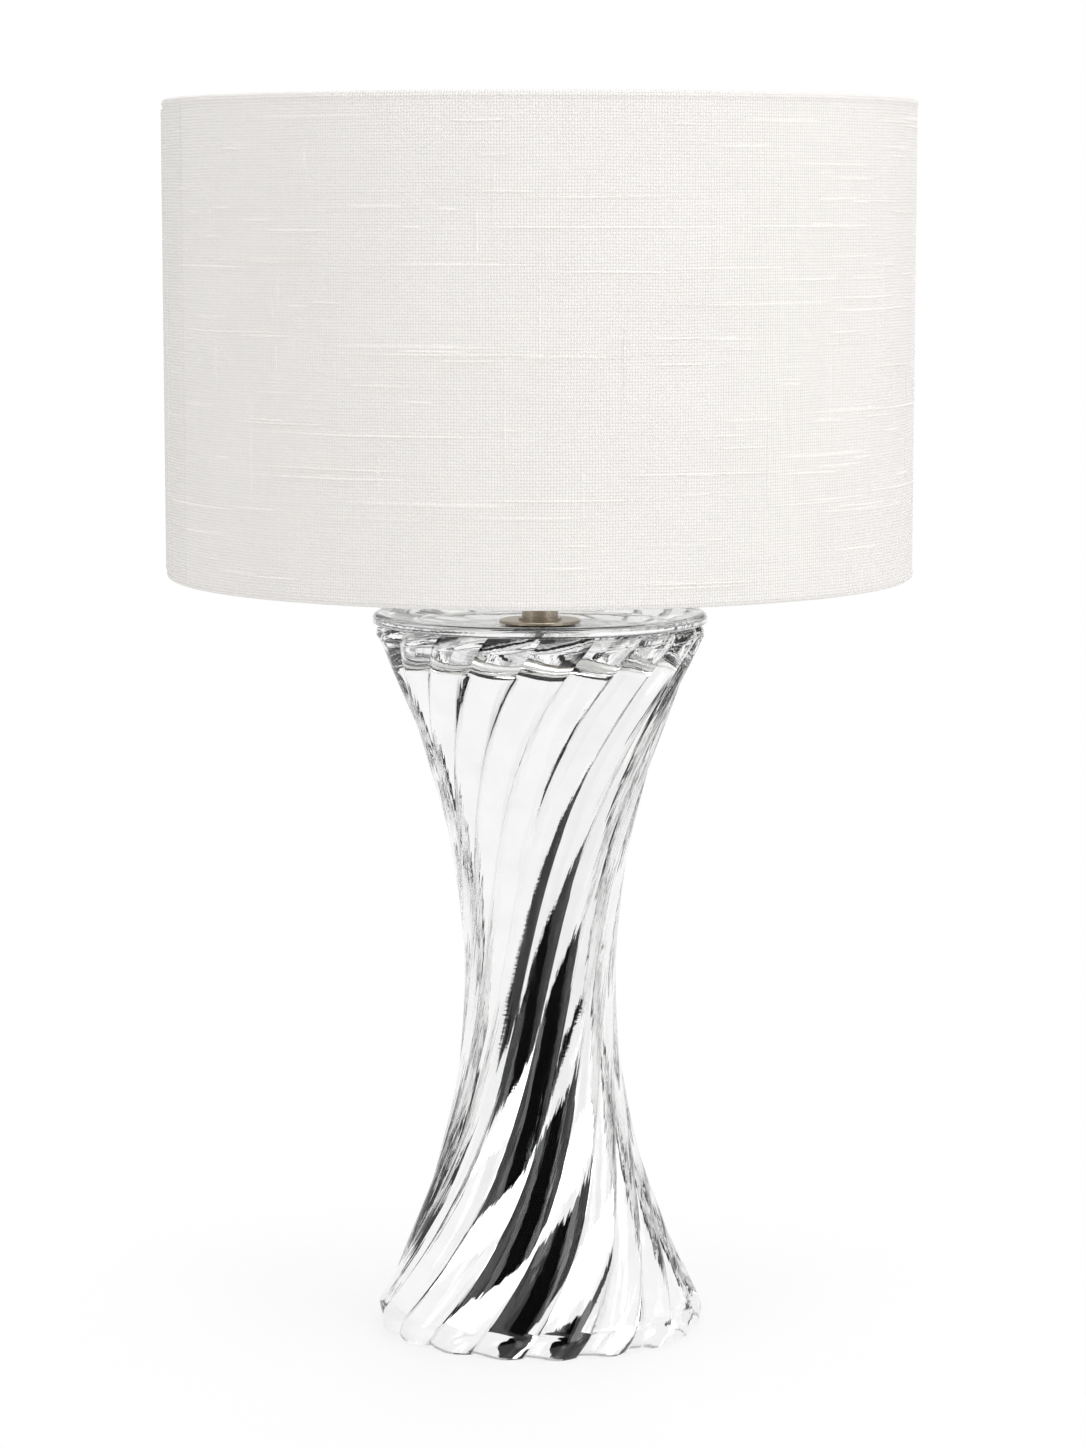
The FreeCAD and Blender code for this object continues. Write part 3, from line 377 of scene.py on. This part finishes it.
GLASS = clear_glass()
BRONZE = worn_metal("bronze_champagne", (0.47, 0.41, 0.33, 1), (0.30, 0.25, 0.19, 1), 0.27)
BRASS = worn_metal("brass_spun", (0.80, 0.63, 0.33, 1), (0.62, 0.46, 0.22, 1), 0.3)
STEEL = worn_metal("steel_zinc", (0.62, 0.62, 0.60, 1), (0.48, 0.48, 0.47, 1), 0.36)
CAP_METAL = worn_metal("bulb_cap_nickel", (0.72, 0.72, 0.71, 1), (0.55, 0.55, 0.54, 1), 0.24)
SILVER = worn_metal("silvering_bright", (0.95, 0.95, 0.945, 1), (0.91, 0.91, 0.905, 1), 0.03, 60.0, 0.00002)
RUBBER = glazed("rubber_black", (0.03, 0.03, 0.03, 1), (0.022, 0.022, 0.022, 1), 0.6, 600.0)
FELT = glazed("felt_pressed", (0.05, 0.045, 0.04, 1), (0.03, 0.027, 0.025, 1), 0.95, 900.0, 0.0002, 0.8)
PLASTIC = glazed("plastic_moulded", (0.035, 0.035, 0.037, 1), (0.025, 0.025, 0.027, 1), 0.42, 500.0)
PORCELAIN = glazed("porcelain_glazed", (0.86, 0.85, 0.82, 1), (0.80, 0.79, 0.76, 1), 0.16)
OPAL = glazed("bulb_opal", (0.93, 0.93, 0.91, 1), (0.89, 0.89, 0.87, 1), 0.22, 80.0)
LINER = glazed("liner_styrene", (0.88, 0.875, 0.86, 1), (0.84, 0.835, 0.82, 1), 0.5, 260.0)
WIRE = glazed("wire_powder_coat", (0.84, 0.84, 0.82, 1), (0.78, 0.78, 0.76, 1), 0.4, 1500.0)
LINEN = linen("linen_slub")
HEM = linen("linen_hem", 1.2, 0.01)
# the slub yarn is a touch lighter than the cloth: a painted highlight for the light on the slubs' raised
# ridges
YARN = linen("linen_slub_yarn", 0.5, 0.03)


# ---------------------------------------------------------------- camera and studio

camera_data = bpy.data.cameras.new("camera")
camera_data.sensor_width = 36.0
camera_data.lens = 99.77
camera = bpy.data.objects.new("camera", camera_data)
camera.location = (0.0016, -2.1585, 0.6092)
camera.rotation_euler = (math.radians(90 - 7.36), 0, 0)
SCENE.collection.objects.link(camera)
SCENE.camera = camera
SCENE.view_settings.view_transform = "Standard"


# the floor shows its own shade within the first distance of the lamp and plain white past the second
SHADOW_START = 0.09
SHADOW_END = 0.32
SHADOW_WHITE = 0.75


def stage_plane(name, width, height, place, turn, material, plain=True):
    """A card of the studio. A card that isn't plain shows in gloss and glass only."""
    x, y = width / 2, height / 2
    corners = [(-x, -y, 0), (x, -y, 0), (x, y, 0), (-x, y, 0)]
    card = new_piece(name, corners, [(0, 1, 2, 3)], smooth=False)
    card.location = place
    card.rotation_euler = turn
    card.data.materials.append(material)
    card.visible_camera = plain
    card.visible_diffuse = plain
    card.visible_shadow = plain


def seen_white(tree, shader, output, near=1.0):
    """What the camera, gloss and glass see of a surface turns to plain white, less so near the lamp."""
    nodes = Wiring(tree)
    path = nodes.add("ShaderNodeLightPath")
    seen = nodes.math("ADD", path.outputs["Is Camera Ray"], path.outputs["Is Glossy Ray"])
    seen = nodes.math("ADD", seen, path.outputs["Is Transmission Ray"], clamp=True)
    if near < 1.0:
        away = nodes.add("ShaderNodeVectorMath", operation="LENGTH")
        nodes.wire(nodes.add("ShaderNodeNewGeometry").outputs["Position"], away.inputs[0])
        fade = nodes.ramp(away.outputs["Value"], SHADOW_START, SHADOW_END, near, 1.0)
        seen = nodes.math("MULTIPLY", seen, fade)
    white = nodes.add("ShaderNodeEmission" if near < 1.0 else "ShaderNodeBackground")
    white.inputs["Color"].default_value = grey(1.0)
    white.inputs["Strength"].default_value = 1.0
    mix = nodes.add("ShaderNodeMixShader")
    nodes.wire(seen, mix.inputs[0])
    nodes.wire(shader, mix.inputs[1])
    nodes.wire(white.outputs[0], mix.inputs[2])
    nodes.wire(mix.outputs[0], output)


# the floor: white, and it keeps the lamp's shadow
floor_paint = Paint("floor_white", Roughness=0.8)
floor_paint.shader.inputs["Base Color"].default_value = grey(0.9)
floor_output = floor_paint.tree.nodes["Material Output"].inputs["Surface"]
seen_white(floor_paint.tree, floor_paint.shader.outputs[0], floor_output, SHADOW_WHITE)
stage_plane("floor", 8.0, 8.0, (0, 1.0, 0), (0, 0, 0), floor_paint.material)

# the world: soft light, and white where it shows
world = bpy.data.worlds.new("studio")
SCENE.world = world
world.use_nodes = True
ambient = world.node_tree.nodes["Background"]
ambient.inputs["Color"].default_value = grey(1.0)
ambient.inputs["Strength"].default_value = 0.66
world_output = world.node_tree.nodes["World Output"].inputs["Surface"]
seen_white(world.node_tree, ambient.outputs[0], world_output)


def soft_light(name, place, aim, size, watts):
    light = bpy.data.lights.new(name, "AREA")
    light.shape = "RECTANGLE"
    light.size, light.size_y = size
    light.energy = watts
    lamp = bpy.data.objects.new(name, light)
    lamp.location = place
    lamp.rotation_euler = (Vector(aim) - Vector(place)).to_track_quat("-Z", "Y").to_euler()
    SCENE.collection.objects.link(lamp)


soft_light("light_top", (0.3, -0.6, 2.6), (0, 0, 0.4), (1.6, 1.6), 16)
soft_light("light_right", (2.4, -1.8, 1.2), (0, 0, 0.5), (1.4, 2.0), 27)
soft_light("light_left", (-2.4, -1.8, 1.2), (0, 0, 0.5), (1.4, 2.0), 17)
soft_light("light_back", (0.5, 2.4, 2.3), (0, 0, 0.45), (1.6, 1.2), 18)

# the dark room in front of the white table, which only the glass and the metal show
dark = Paint("studio_dark", Roughness=1.0)
dark.shader.inputs["Base Color"].default_value = grey(0.004)
dark.shader.inputs["Specular IOR Level"].default_value = 0.0


def dark_card(name, width, height, place, turn):
    stage_plane(name, width, height, place, turn, dark.material, plain=False)


UPRIGHT = (math.pi / 2, 0, 0)
dark_card("dark_front", 4.1, 3.0, (-0.5, -2.6, 1.5), UPRIGHT)
dark_card("dark_ground", 4.1, 1.98, (-0.5, -1.59, 0.002), (0, 0, 0))


# ---------------------------------------------------------------- glass

def crest_radius(level):
    """Radius over the crests of the flutes."""
    if level <= FOOT_BAND:
        return FOOT_RADIUS - FOOT_EASING * ((FOOT_BAND - level) / FOOT_BAND) ** 3
    if level <= WAIST_LEVEL:
        share = (WAIST_LEVEL - level) / (WAIST_LEVEL - FOOT_BAND)
        return WAIST_RADIUS + (FOOT_RADIUS - WAIST_RADIUS) * share ** 2
    if level <= SHOULDER_LEVEL:
        share = (level - WAIST_LEVEL) / (SHOULDER_LEVEL - WAIST_LEVEL)
        return WAIST_RADIUS + (SHOULDER_RADIUS - WAIST_RADIUS) * share ** 2
    return SHOULDER_RADIUS - SHOULDER_EASING * ((level - SHOULDER_LEVEL) / SHOULDER_HEIGHT) ** 3


def flute_turn(level):
    """Turn of the flutes at a level, which grows faster away from the waist."""
    cubed = (level - WAIST_LEVEL) ** 3 + WAIST_LEVEL ** 3
    return math.radians(TWIST_AT_WAIST * level + TWIST_GROWTH * cubed)


EAVES_LEVEL = CEILING_LEVEL - CEILING_ROUNDING
CAVITY_FOOT = FOOT_RADIUS * (1 - FLUTE_DEPTH) - GLASS_WALL
CAVITY_WAIST = WAIST_RADIUS * (1 - FLUTE_DEPTH) - GLASS_WALL
CAVITY_EAVES = crest_radius(EAVES_LEVEL) * (1 - FLUTE_DEPTH) - GLASS_WALL


def cavity_radius(level):
    """Radius of the cavity: one arc from the waist down to the foot's band and one up to the ceiling."""
    level = max(level, FOOT_BAND)
    spread = (CAVITY_FOOT if level < WAIST_LEVEL else CAVITY_EAVES) - CAVITY_WAIST
    rise = (WAIST_LEVEL - FOOT_BAND) if level < WAIST_LEVEL else EAVES_LEVEL - WAIST_LEVEL
    sweep = (spread ** 2 + rise ** 2) / (2 * spread)
    return CAVITY_WAIST + sweep - math.sqrt(sweep ** 2 - (level - WAIST_LEVEL) ** 2)


def cavity_profile(hole, foot, outward=0.0):
    """The cavity from the hole in its ceiling down to its foot."""
    profile = [(hole, CEILING_LEVEL + outward)]
    for step in np.linspace(math.pi / 2, 0, 9):
        reach = CEILING_ROUNDING + outward
        radius = CAVITY_EAVES - CEILING_ROUNDING + reach * math.cos(step)
        profile.append((radius, EAVES_LEVEL + reach * math.sin(step)))
    for level in np.linspace(EAVES_LEVEL, FOOT_BAND, 150)[1:]:
        profile.append((cavity_radius(level) + outward, level))
    profile.append((CAVITY_FOOT + outward, foot))
    return profile


def cast_glass():
    """The hollow hourglass: eighteen twisted flutes, a plain rim, a dished top and a smooth cavity."""
    per_flute = 14
    count = FLUTES * per_flute
    pattern = np.arange(count) / per_flute
    across = (pattern % 1.0) * 2 - 1
    base = FLUTE_START + 2 * math.pi * pattern / FLUTES
    shape = 1 - FLUTE_DEPTH * across ** 2
    levels = [0.0, 0.8, 2.0, 4.0, 7.0, *np.linspace(FOOT_BAND, SHOULDER_LEVEL, 260)]
    levels += [SHOULDER_LEVEL + SHOULDER_HEIGHT * step for step in (0.3, 0.55, 0.8, 1.0)]
    rings = []
    for level in levels:
        rings.append(circle(crest_radius(level) * shape, level, base + flute_turn(level)))
    fluted = len(rings)
    turn = flute_turn(FLUTE_TOP)
    rim = [(RIM_RADIUS - RIM_LIP, FLUTE_TOP)]
    for step in np.linspace(0, math.pi / 2, 5)[1:]:
        radius = RIM_RADIUS - RIM_LIP + RIM_LIP * math.sin(step)
        rim.append((radius, FLUTE_TOP + RIM_LIP * (1 - math.cos(step))))
    for step in np.linspace(0, math.pi / 2, 9):
        radius = RIM_RADIUS - RIM_ROUNDING + RIM_ROUNDING * math.cos(step)
        rim.append((radius, GLASS_TOP - RIM_ROUNDING + RIM_ROUNDING * math.sin(step)))
    start = np.array([RIM_RADIUS - RIM_ROUNDING, GLASS_TOP])
    end = np.array([DISH_FLAT, SEAT_LEVEL])
    chord = end - start
    span = np.linalg.norm(chord)
    upward = np.array([-chord[1], chord[0]]) / span
    upward = upward if upward[1] > 0 else -upward
    middle = (start + end) / 2 + upward * math.sqrt(DISH_SWEEP ** 2 - (span / 2) ** 2)
    first = math.atan2(start[1] - middle[1], start[0] - middle[0])
    last = math.atan2(end[1] - middle[1], end[0] - middle[0])
    for step in np.linspace(first, last, 16)[1:]:
        rim.append((middle[0] + DISH_SWEEP * math.cos(step), middle[1] + DISH_SWEEP * math.sin(step)))
    top = len(rim)
    rim.append((STUD_HOLE, SEAT_LEVEL))
    rim.extend(cavity_profile(STUD_HOLE, 0.0))
    for radius, level in rim:
        rings.append(circle(radius, level, base + turn))
    sharp = []
    for row in range(fluted - 1):
        for flute in range(FLUTES):
            corner = row * count + flute * per_flute
            sharp.append((corner, corner + count))
    hard_rows = (0, fluted - 1, fluted, fluted + top - 1, fluted + top, fluted + top + 1, len(rings) - 1)
    for row in hard_rows:
        sharp.extend((row * count + k, row * count + (k + 1) % count) for k in range(count))
    faces = ring_faces(len(rings), count, closed=True)
    return new_piece("cast_glass", np.concatenate(rings), faces, True, sharp)


def lining():
    """The silvered lining. It lies on the glass, so light meets the silver inside the glass."""
    outside = cavity_profile(LINING_HOLE, LINING_FOOT, LINING_OVERLAP)
    inside = cavity_profile(LINING_HOLE, LINING_FOOT, -LINING_THICKNESS)
    return harden(lathe("mirror_lining", outside + inside[::-1], 256))


finish_piece(cast_glass(), "base", "clear_glass", GLASS, "glass_body")
finish_piece(lining(), "base", "silvering", SILVER, "silver_lining")


# ---------------------------------------------------------------- shade

def drum_point(angle, radius, level):
    return (radius * math.sin(angle) * MM, -radius * math.cos(angle) * MM, level * MM)


def shade_sheet():
    """The linen as one layer round the drum, with the slight lie of stretched cloth."""
    count, rows = 720, 60
    seed = np.random.default_rng(7)
    phases = seed.uniform(0, 2 * math.pi, 6)
    angle = np.linspace(0, 2 * math.pi, count, endpoint=False)
    rings = []
    for row in range(rows + 1):
        level = CLOTH_LOW + (CLOTH_HIGH - CLOTH_LOW) * row / rows
        lie = np.zeros(count)
        for k, phase in enumerate(phases):
            lie += np.sin(angle * (2 + k) + phase + row * 0.03 * (k - 2)) * CLOTH_LIE
        rings.append(circle(SHADE_RADIUS + lie - 3 * CLOTH_LIE, level, angle))
    return new_piece("shade_linen", np.concatenate(rings), ring_faces(rows + 1, count))


def slub_yarns():
    """Thick places in the yarns: long low spindles that lie on the cloth, most along the weft."""
    seed = np.random.default_rng(23)
    points, faces = [], []

    def spindle(angle, level, length, width, proud, upright):
        steps, sides = max(8, int(length / 1.5)), 6
        wander = seed.uniform(-0.25, 0.25)
        first = len(points)
        beads = seed.uniform(0.35 if upright else 0.7, 1.15, steps + 1)
        for k in range(steps + 1):
            t = k / steps
            swell = (math.sin(math.pi * t) ** 0.45) * beads[k]
            along = (t - 0.5) * length
            shift = wander * math.sin(t * math.pi * 1.5)
            for side in range(sides + 1):
                turn = math.pi * side / sides
                across = math.cos(turn) * width / 2 * swell + shift
                rise = math.sin(turn) * proud * swell
                if upright:
                    where = (angle + across / SHADE_RADIUS, level + along)
                else:
                    where = (angle + along / SHADE_RADIUS, level + across)
                points.append(drum_point(where[0], SHADE_RADIUS - 0.03 + rise, where[1]))
        for k in range(steps):
            for side in range(sides):
                a = first + k * (sides + 1) + side
                faces.append((a, a + 1, a + sides + 2, a + sides + 1))

    for _ in range(330):
        angle = seed.uniform(0, 2 * math.pi)
        level = seed.uniform(422, 655)
        length = 12 + 95 * seed.random() ** 1.8
        spindle(angle, level, length, seed.uniform(0.8, 1.35), seed.uniform(0.3, 0.62), False)
    for _ in range(80):
        angle = seed.uniform(0, 2 * math.pi)
        level = seed.uniform(430, 645)
        length = 12 + 60 * seed.random() ** 2
        spindle(angle, level, length, seed.uniform(0.7, 1.1), seed.uniform(0.25, 0.5), True)
    return new_piece("shade_slubs", points, faces)


def rolled_hem(name, level, seed_number):
    """Cloth turned round the wire ring: a C section open towards the inside."""
    seed = np.random.default_rng(seed_number)
    phases = seed.uniform(0, 2 * math.pi, 12)
    start = math.pi + HEM_OPENING / 2
    end = 3 * math.pi - HEM_OPENING / 2
    outside_steps = 22
    profile = []
    for step in np.linspace(start, end, outside_steps):
        profile.append((HEM_RADIUS + HEM_OUTSIDE * math.cos(step), level + HEM_OUTSIDE * math.sin(step)))
    for step in np.linspace(end, start, 14):
        profile.append((HEM_RADIUS + HEM_INSIDE * math.cos(step), level + HEM_INSIDE * math.sin(step)))

    def ripple(turn, step):
        wave = np.zeros(len(turn))
        if step >= outside_steps:
            return wave
        for k, phase in enumerate(phases):
            wave += np.sin(turn * (11 + 31 * k) + phase + 0.3 * step * (k % 3)) / (3 + 0.4 * k)
        return wave * HEM_RIPPLE
    return lathe(name, profile, 900, ripple)


SHEET = finish_piece(shade_sheet(), "shade", "linen", LINEN, "shade_cloth")
SLUBS = finish_piece(slub_yarns(), "shade", "linen", YARN)
LOW_HEM = rolled_hem("shade_hem_lower", LOW_HEM_LEVEL, 3)
HIGH_HEM = rolled_hem("shade_hem_upper", HIGH_HEM_LEVEL, 4)
finish_piece(LOW_HEM, "shade", "linen", HEM, "lower_rolled_edge")
finish_piece(HIGH_HEM, "shade", "linen", HEM, "upper_rolled_edge")


def seam_lap():
    """The lap of the side seam: a proud strip, and beside it the flatter band of its turning."""
    wide, rows = 66, 130
    outer, inner = [], []
    for row in range(rows + 1):
        level = SEAM_LOW + (SEAM_HIGH - SEAM_LOW) * row / rows
        for k in range(wide + 1):
            degrees = LAP_START + (BAND_END - LAP_START) * k / wide
            strip = min(1.0, max(0.0, (STRIP_END - degrees) / 0.4), (degrees - LAP_START) / 0.3 + 0.3)
            band = min(1.0, max(0.0, (BAND_END - degrees) / 0.35))
            puckers = 0.035 * math.sin(level * 0.9 + k)
            full = 0.04 + BAND_PROUD * band + STRIP_PROUD * strip + puckers
            angle = math.radians(degrees)
            outer.append(drum_point(angle, SHADE_RADIUS + full, level))
            inner.append(drum_point(angle, SHADE_RADIUS - 0.04, level))
    points = outer + inner
    size = (wide + 1) * (rows + 1)
    faces = []
    for row in range(rows):
        for k in range(wide):
            a = row * (wide + 1) + k
            faces.append((a, a + 1, a + wide + 2, a + wide + 1))
    for row in range(rows):
        a = row * (wide + 1)
        b = a + wide + 1
        faces.append((a, b, b + size, a + size))
        a, b = a + wide, b + wide
        faces.append((b, a, a + size, b + size))
    for k in range(wide):
        a = k
        faces.append((a + 1, a, a + size, a + 1 + size))
    for k in range(wide):
        a = rows * (wide + 1) + k
        faces.append((a, a + 1, a + 1 + size, a + size))
    return harden(new_piece("shade_seam", points, faces))


SEAM = finish_piece(seam_lap(), "shade", "linen", HEM, "side_seam")


# ---------------------------------------------------------------- CAD nodes that stay

def keep(material, *names):
    """A CAD node whose shape is right stays and gets its material."""
    for name in names:
        node = NODES[name]
        node.data.materials.clear()
        node.data.materials.append(material)


keep(BRONZE, "bronze_washer", "neck_collar", "lampholder_cap", "lampholder_sleeve",
     "lower_shade_ring", "upper_shade_ring")
keep(BRASS, "lock_nut", "screw_shell", "centre_contact", "threaded_tube")
keep(STEEL, "threaded_stud", "clamp_washer", "terminal_screws", "cord_grip_screw")
keep(FELT, "felt_washer", "base_pad")
keep(RUBBER, "lower_seal")
keep(PLASTIC, "base_plate", "cord_bush", "switch_block", "push_bar",
     "push_button_left", "push_button_right", "bulb_insulator")
keep(PORCELAIN, "porcelain_body")
keep(CAP_METAL, "bulb_cap", "bulb_contact")
keep(OPAL, "bulb_globe")
keep(LINER, "shade_liner")
keep(WIRE, "lower_wire_ring", "upper_wire_ring", "carrier_ring",
     "carrier_arm_1", "carrier_arm_2", "carrier_arm_3")
